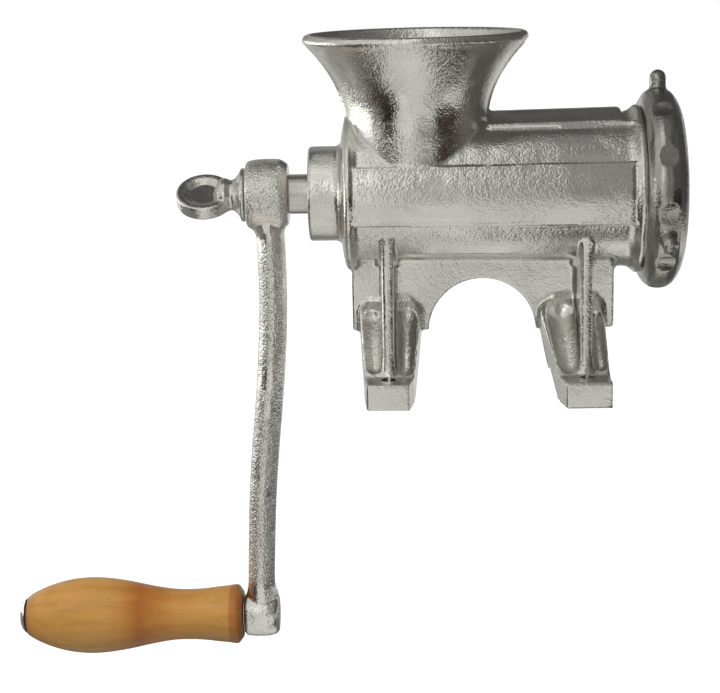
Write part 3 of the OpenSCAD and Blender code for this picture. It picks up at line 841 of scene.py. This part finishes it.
# %% Shaft and square tail
shaft = turned("screw_shaft", [(0, -93.2), (9, -93.2), (9.5, -92.7), (9.5, -57), (0, -57)])
tail = block("tail", [(x, 6.45 * i, AXIS_Z + 6.45 * j)
                      for x in (-112.8, -92) for i in (-1, 1) for j in (-1, 1)])
carved(tail, [rod("tail_bore", 5.05, -120, -84)])
print("tail", 2 * 6.45, "mm square")

# %% [markdown]
# ## Smooth metals
# Machined metal has fine rings left by the tool instead of a cast skin. A wave texture along the
# axis gives the relief, and a little noise breaks up the tone and the roughness. Steel, the shaft's
# tin, chrome and bronze share it, so it is the second group, and `metal` places it as before.

# %% The tool rings group
tool_rings = new_group("tool_rings", {"Polish": 0.3}, ["Height", "Roughness", "Tone"])
given = add(tool_rings, "NodeGroupInput").outputs
place = own_place(tool_rings)
marks = add(tool_rings, "ShaderNodeTexWave", {"Vector": place, "Scale": 420.0, "Distortion": 0.6,
                                              "Detail": 2.0},
            wave_type="BANDS", bands_direction="X").outputs["Fac"]
smear = noise(tool_rings, place, 90.0, Detail=3.0)
add(tool_rings, "NodeGroupOutput", {
    "Height": marks,
    "Roughness": calc(tool_rings, "MULTIPLY", remap(tool_rings, smear, 0.3, 0.7, 0.75, 1.3),
                      given["Polish"]),
    "Tone": remap(tool_rings, smear, 0.3, 0.7, 0.9, 1.0)})
steel = metal("ground_steel", (0.62, 0.63, 0.64), tool_rings, 0.00004, Polish=0.28)
shaft_tin = metal("shaft_tin", (0.74, 0.73, 0.70), tool_rings, 0.00004, Polish=0.2)
chrome = metal("chrome_cap", (0.86, 0.86, 0.85), tool_rings, 0.00001, Polish=0.08)
bronze = metal("bush_bronze", (0.72, 0.48, 0.25), tool_rings, 0.00004, Polish=0.32)
print("made", steel.name, shaft_tin.name, chrome.name, bronze.name)

# %% [markdown]
# ## Fibre
# Two washers are not metal: one is red-brown pressed fibre, one is dark stained fibre. Both are
# matt with fine flecks, which a third group gives.

# %% The flecks group
fibre_flecks = new_group("fibre_flecks", {"Scale": 1400.0}, ["Height", "Light"])
given = add(fibre_flecks, "NodeGroupInput").outputs
flecks = noise(fibre_flecks, own_place(fibre_flecks), given["Scale"], Detail=4.0)
add(fibre_flecks, "NodeGroupOutput", {
    "Height": flecks, "Light": remap(fibre_flecks, flecks, 0.35, 0.65, 0.0, 1.0)})


def fibre(name, dark, light):
    """Matt pressed fibre with flecks between two colours."""
    material, tree, shader = new_material(name)
    parts = use_group(tree, fibre_flecks, Scale=1400.0)
    tree.links.new(blended(tree, (*dark, 1), (*light, 1), parts["Light"], "MIX"),
                   shader.inputs["Base Color"])
    link_relief(tree, shader, parts["Height"], 0.00005)
    shader.inputs["Roughness"].default_value = 0.7
    return material


red_fibre = fibre("red_fibre", (0.10, 0.03, 0.015), (0.17, 0.06, 0.03))
dark_fibre = fibre("dark_fibre", (0.008, 0.006, 0.005), (0.02, 0.016, 0.013))
print("made", red_fibre.name, dark_fibre.name)

# %% [markdown]
# ## Varnished wood
# The grip is beech under an amber varnish. Wood grain is long in one direction, so the noise is
# squeezed along the grip: small scale along X, large scale across. Clouds and pores darken it here
# and there. A ramp over X darkens both ends and the slope where the bulb narrows towards the waist;
# that darkening is painted shade.

# %% Grain, clouds and pores
GRIP_X0, GRIP_X1 = -231.2, -122.2


def squeezed(tree, place, along, across):
    """Space scaled differently along X and across it."""
    return add(tree, "ShaderNodeMapping", {
        "Vector": place, "Scale": (along, across, across)}).outputs["Vector"]


wood, tree, shader = new_material("varnished_wood")
place = own_place(tree)
grain = noise(tree, squeezed(tree, place, 14.0, 190.0), 1.0, Detail=6.0, Roughness=0.6,
              Distortion=0.4)
cloud = noise(tree, squeezed(tree, place, 28.0, 45.0), 1.0, Detail=3.0)
pores = noise(tree, squeezed(tree, place, 260.0, 1800.0), 1.0)
colour = ramp(tree, grain, [
    (0.3, (0.47, 0.218, 0.043)), (0.5, (0.55, 0.27, 0.059)), (0.75, (0.60, 0.315, 0.079))])
colour = blended(tree, colour, ramp(tree, cloud, [(0.3, 0.82), (0.6, 1.0)]))
colour = blended(tree, colour, ramp(tree, pores, [(0.27, 0.55), (0.33, 1.0)]))

# %% Painted shade along the grip, and the varnish
x_now = add(tree, "ShaderNodeSeparateXYZ", {"Vector": place}).outputs["X"]
share = remap(tree, x_now, -0.2315, -0.1222, 0.0, 1.0)
# A ramp over X paints shade: darker at both ends and on the slope from the bulb to the waist.
colour = blended(tree, colour, ramp(tree, share, [
    (0.0, (0.6, 0.5, 0.4)), (0.025, (0.88, 0.84, 0.8)), (0.06, 1.0), (0.38, 1.0),
    (0.45, (0.94, 0.84, 0.68)), (0.53, (0.72, 0.48, 0.26)), (0.6, (0.86, 0.68, 0.46)),
    (0.7, (0.98, 0.92, 0.8)), (0.85, 1.0), (0.936, 1.0), (0.945, (0.78, 0.6, 0.45)),
    (0.972, (0.66, 0.48, 0.34)), (1.0, (0.4, 0.27, 0.18))]))
tree.links.new(colour, shader.inputs["Base Color"])
tree.links.new(remap(tree, grain, 0.0, 1.0, 0.34, 0.46), shader.inputs["Roughness"])
link_relief(tree, shader, grain, 0.0002, 0.35)
shader.inputs["Specular IOR Level"].default_value = 0.25
shader.inputs["Coat Weight"].default_value = 0.3
shader.inputs["Coat Roughness"].default_value = 0.18
print("wood has", len(tree.nodes), "nodes")

# %% [markdown]
# ## The grip and its spindle
# The grip is one turning. Its outline is given at nineteen stations, each a share of the length and
# a radius. The same smooth curve as the arm's runs through them, and a bore leaves room for the
# spindle.

# %% Grip
OUTLINE = [
    (0, 9.7), (0.02, 11.2), (0.05, 12.9), (0.09, 14.8), (0.14, 16.6), (0.19, 17.9), (0.24, 18.7),
    (0.3, 19.05), (0.36, 18.75), (0.42, 17.95), (0.48, 16.85), (0.54, 15.45), (0.6, 14.15),
    (0.66, 13.1), (0.71, 12.65), (0.77, 12.65), (0.83, 13.05), (0.89, 13.85), (0.938, 14.35)]
COLLAR = [(0.942, 14.45), (0.948, 14.6), (0.972, 14.85), (0.977, 14.7), (0.983, 14.2),
          (0.997, 12.1), (1, 11.6)]
GRIP_BORE = 4.65
grip_line = [(radius, GRIP_X0 + along * (GRIP_X1 - GRIP_X0))
             for along, radius in smooth_rows(OUTLINE, 4) + COLLAR]
grip = turned("grip_wood", [(GRIP_BORE, GRIP_X0)] + grip_line + [(GRIP_BORE, GRIP_X1)],
              GRIP_Z, 128, closed=True)
hand_over(grip, wood, "grip", ["wooden_grip"], sharp=50)

# %% [markdown]
# The spindle runs through the grip and is riveted into the arm. Its domed head and a dark washer
# show at the outer end, and a thin steel washer keeps the wood off the arm at the inner end.

# %% Spindle, washers and shafts
spindle = turned("spindle", [
    (0, -235.65), (2.4, -235.5), (4.8, -235), (6.7, -234.2), (7.8, -233.3), (8.35, -232.7),
    (8.4, -232.5), (4.5, -232.5), (4.5, -121.3), (0, -121.3)], GRIP_Z)
hand_over(spindle, chrome, "crank", ["grip_spindle"], sharp=50)
cap_washer = turned("cap_washer", [
    (4.6, -232.48), (8.5, -232.48), (8.7, -232.3), (8.7, -231.7), (8.5, -231.5), (4.6, -231.5)],
    GRIP_Z, closed=True)
hand_over(cap_washer, dark_fibre, "crank", ["grip_end_washer"])
arm_washer = turned("arm_washer", [
    (4.6, -121.9), (9.2, -121.9), (9.4, -121.75), (9.4, -121.45), (9.2, -121.3), (4.6, -121.3)],
    GRIP_Z, closed=True)
hand_over(arm_washer, steel, "crank", ["grip_inner_washer"])
hand_over(shaft, shaft_tin, "screw", ["feed_screw"])
hand_over(tail, shaft_tin, "screw", ["feed_screw"])
hand_over(shank, shaft_tin, "thumb", ["thumb_screw"], sharp=25)

# %% [markdown]
# The bush, washer, key, stud, knife and plate are simple turned or ground parts. Their solids are
# right as they are, so they only get their finishes.

# %% Finishes for the solids that stay
for node, material in (("rear_bush", bronze), ("thrust_washer", red_fibre), ("plate_key", steel),
                       ("drive_stud", steel), ("cross_knife", steel), ("grinding_plate", steel)):
    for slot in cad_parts[node].material_slots:
        slot.material = material
    print(node, "is", material.name)

# %% [markdown]
# ## The studio
# A pale floor lies far below the hanging crank and a white world surrounds it. Both look white to
# the camera and in reflections, but light the metal only gently. Light Path tells those rays apart.

# %% Floor and world
def shows_white(tree):
    """1 for camera, mirror and glass rays, 0 for the rays that light things."""
    path = add(tree, "ShaderNodeLightPath").outputs
    seen = calc(tree, "MAXIMUM", path["Is Camera Ray"], path["Is Glossy Ray"])
    return calc(tree, "MAXIMUM", seen, path["Is Transmission Ray"])


FLOOR_Z = -1000
bm = bmesh.new()
bmesh.ops.create_grid(bm, x_segments=1, y_segments=1, size=12000)
bmesh.ops.translate(bm, vec=(0, 0, FLOOR_Z), verts=bm.verts)
floor = to_object(bm, "floor")
paper, tree, shader = new_material("white_paper")
tree.links.new(ramp(tree, noise(tree, own_place(tree), 300.0), [(0.3, 0.46), (0.7, 0.48)]),
               shader.inputs["Base Color"])
shader.inputs["Roughness"].default_value = 0.9
glow = add(tree, "ShaderNodeEmission", {"Color": (1, 1, 1, 1), "Strength": 0.85})
both = add(tree, "ShaderNodeAddShader", {0: shader.outputs["BSDF"], 1: glow.outputs["Emission"]})
choice = add(tree, "ShaderNodeMixShader", {0: shows_white(tree), 1: shader.outputs["BSDF"],
                                           2: both.outputs["Shader"]})
tree.links.new(choice.outputs["Shader"], tree.nodes["Material Output"].inputs["Surface"])
floor.data.materials.append(paper)

world = bpy.data.worlds.new("studio")
world.use_nodes = True
bpy.context.scene.world = world
tree = world.node_tree
lit = tree.nodes["Background"]
lit.inputs["Color"].default_value = (1, 1, 1, 1)
lit.inputs["Strength"].default_value = 0.55
white = add(tree, "ShaderNodeBackground", {"Color": (1, 1, 1, 1), "Strength": 1.0})
choice = add(tree, "ShaderNodeMixShader", {0: shows_white(tree), 1: lit.outputs["Background"],
                                           2: white.outputs["Background"]})
tree.links.new(choice.outputs["Shader"], tree.nodes["World Output"].inputs["Surface"])
print("floor", FLOOR_Z, "mm below the feet's undersides")

# %% [markdown]
# Polished metal shows whatever stands round it, and in a white room it would look like paper. So
# grey, black and brown cards stand all round the grinder, and only reflections meet them. A card
# fades out towards its edges and is unevenly lit, which the last group gives to them all, as a
# cover for the shader's alpha and clouds for its glow.

# %% The card's face
card_face = new_group("card_face", {"Softness": 0.1}, ["Cover", "Clouds"])
given = add(card_face, "NodeGroupInput").outputs
off = add(card_face, "ShaderNodeVectorMath", {0: own_place(card_face, "UV"), 1: (0.5, 0.5, 0)},
          operation="SUBTRACT").outputs[0]
off = add(card_face, "ShaderNodeVectorMath", {0: off}, operation="ABSOLUTE").outputs[0]
axes = add(card_face, "ShaderNodeSeparateXYZ", {"Vector": off}).outputs
edge = calc(card_face, "MAXIMUM", axes["X"], axes["Y"])
fade_from = calc(card_face, "SUBTRACT", 0.5, given["Softness"])
add(card_face, "NodeGroupOutput", {
    "Cover": remap(card_face, edge, fade_from, 0.5, 1.0, 0.0, "SMOOTHSTEP"),
    "Clouds": remap(card_face, noise(card_face, own_place(card_face), 9.0), 0.32, 0.68, 0.6, 1.4)})
print("group", card_face.name, "with", len(card_face.nodes), "nodes")

# %% [markdown]
# A card is placed by the directions in which the grinder sees its edges. Farther cards are covered
# by nearer ones, so the list below runs from the small near cards to the big far ones.

# %% Placing a card
CARDS_MIDDLE = Vector((-20, 0, 80))
WARM = 0.95


def card(name, left, right, low, high, tone, distance, soft):
    """A card between two azimuths and two elevations in degrees. Azimuth 0 is straight in front
    and 90 on the right. The tone is a grey or a colour, and soft is the share that fades out."""
    a, e = math.radians((left + right) / 2), math.radians((low + high) / 2)
    away = Vector((math.sin(a) * math.cos(e), -math.cos(a) * math.cos(e), math.sin(e)))
    size = [2 * distance * math.tan(math.radians(angle / 2))
            for angle in (right - left, high - low)]
    bm = bmesh.new()
    bm.loops.layers.uv.new("UVMap")
    bmesh.ops.create_grid(bm, x_segments=1, y_segments=1, size=0.5, calc_uvs=True)
    turn = away.to_track_quat("Z", "Y").to_matrix().to_4x4()
    bmesh.ops.transform(bm, verts=bm.verts, matrix=(
        Matrix.Translation(CARDS_MIDDLE + away * distance) @ turn @ Matrix.Diagonal((*size, 1, 1))))
    obj = to_object(bm, name)
    material, tree, shader = new_material(name + "_tone")
    face = use_group(tree, card_face, Softness=soft)
    colour = tone if isinstance(tone, tuple) else (tone, tone, tone * WARM)
    tree.links.new(blended(tree, (*colour, 1), face["Clouds"]), shader.inputs["Emission Color"])
    tree.links.new(face["Cover"], shader.inputs["Alpha"])
    shader.inputs["Emission Strength"].default_value = 1.0
    shader.inputs["Base Color"].default_value = (0, 0, 0, 1)
    shader.inputs["Specular IOR Level"].default_value = 0.0
    obj.data.materials.append(material)
    for ray in ("camera", "diffuse", "transmission", "shadow", "volume_scatter"):
        setattr(obj, "visible_" + ray, False)
    return obj


# %% The cards
cards = [card(*row) for row in (
    ("card_band", -24, -5, 2, 80, 1.0, 560, 0.1),
    ("card_middle", -10, 4, -6, 34, 0.6, 565, 0.15),
    ("card_brown_right", 26, 84, -14, 6, (0.05, 0.033, 0.024), 580, 0.15),
    ("card_brown_low", 28, 66, -62, -27, (0.06, 0.04, 0.03), 580, 0.12),
    ("card_brown_left", -76, -46, -48, -12, (0.05, 0.038, 0.03), 580, 0.2),
    ("card_brown_neck", -59, -31, -26, 9, (0.03, 0.02, 0.016), 570, 0.14),
    ("card_notch", 13, 23, -70, -45, 0.06, 590, 0.25),
    ("card_strip", 16, 78, -28, -16, 0.62, 620, 0.1),
    ("card_strip_far", 68, 134, -28, -15, 0.75, 620, 0.15),
    ("card_high_mid", -10, 30, -10, 64, 0.28, 690, 0.08),
    ("card_high_left", -82, -8, -5, 64, 0.68, 700, 0.05),
    ("card_high_right", 22, 84, -16, 64, 0.13, 720, 0.08),
    ("card_left", -142, -74, -16, 10, 1.6, 740, 0.12),
    ("card_low_mid", -50, 34, -78, -2, 0.64, 760, 0.06),
    ("card_low_left", -116, -44, -64, -2, 0.22, 780, 0.05),
    ("card_low_right", 24, 84, -70, -10, 0.25, 790, 0.05),
    ("card_right", 76, 142, -12, 66, 0.1, 800, 0.05),
    ("card_left_up", -142, -72, 0, 66, 0.46, 820, 0.05),
    ("card_right_low", 76, 142, -66, -8, 0.12, 830, 0.05),
    ("card_top_back", 148, 212, 50, 88, 0.1, 700, 0.08),
    ("card_top_left", -150, -30, 56, 92, 0.5, 860, 0.05),
    ("card_top_right", 30, 150, 54, 91, 0.22, 850, 0.05),
    ("card_back_left", 180, 226, -36, 11, 0.5, 840, 0.1),
    ("card_back_right", 134, 182, -28, 9, 0.7, 840, 0.1),
    ("card_back_up_left", 178, 234, 6, 70, 0.3, 880, 0.05),
    ("card_back_up_right", 126, 184, 6, 70, 0.1, 880, 0.05),
    ("card_under", -70, 70, -112, -70, 0.66, 890, 0.05),
    ("card_under_back", 110, 250, -84, -24, 0.2, 900, 0.05))]
print("studio with", len(cards), "cards")

# %% [markdown]
# Two big soft lamps and a narrow one light the scene: the main one high on the left, a fill on the
# right, and a strip that draws the long highlights along the barrel and the crank. Only the strip
# shows in reflections, because the cards already give the rest.

# %% Lamps
LIT_POINT = Vector((-0.03, 0, 0.06))


def lamp(name, centre, wide, high, power):
    """An area lamp that faces the grinder, with its place and size in metres."""
    data = bpy.data.lights.new(name, "AREA")
    data.shape = "RECTANGLE"
    data.size, data.size_y, data.energy = wide, high, power
    obj = placed(name, data)
    obj.location = centre
    obj.rotation_euler = (LIT_POINT - Vector(centre)).to_track_quat("-Z", "Y").to_euler()
    obj.visible_glossy = name == "strip"
    return obj


lamps = [lamp("key", (-0.9, -1.1, 1.3), 0.9, 0.7, 16),
         lamp("fill", (1.3, -0.7, 0.5), 0.6, 0.9, 6),
         lamp("strip", (-0.3, -0.9, 1.5), 1.4, 0.12, 1.2)]
print("lamps:", [round(l.data.energy, 1) for l in lamps])

# %% [markdown]
# ## The camera
# The lens is long and the camera stands a little above the barrel, looking down by 13 degrees, with
# a slight turn and roll. The three angles are put together from simple rotations.

# %% Camera
TURN, DOWN, ROLL = 1.7, 13, -1.2
camera = placed("camera", bpy.data.cameras.new("camera"))
camera.data.sensor_width = 36.0
camera.data.lens = 92.25
camera.matrix_world = (Matrix.Translation((-0.03469, -0.87655, 0.22206))
                       @ Matrix.Rotation(math.radians(TURN), 4, "Z")
                       @ Matrix.Rotation(math.radians(90 - DOWN), 4, "X")
                       @ Matrix.Rotation(math.radians(ROLL), 4, "Z"))
bpy.context.scene.camera = camera
bpy.context.scene.view_settings.view_transform = "Standard"
print("camera at", [round(v, 3) for v in camera.matrix_world.translation])
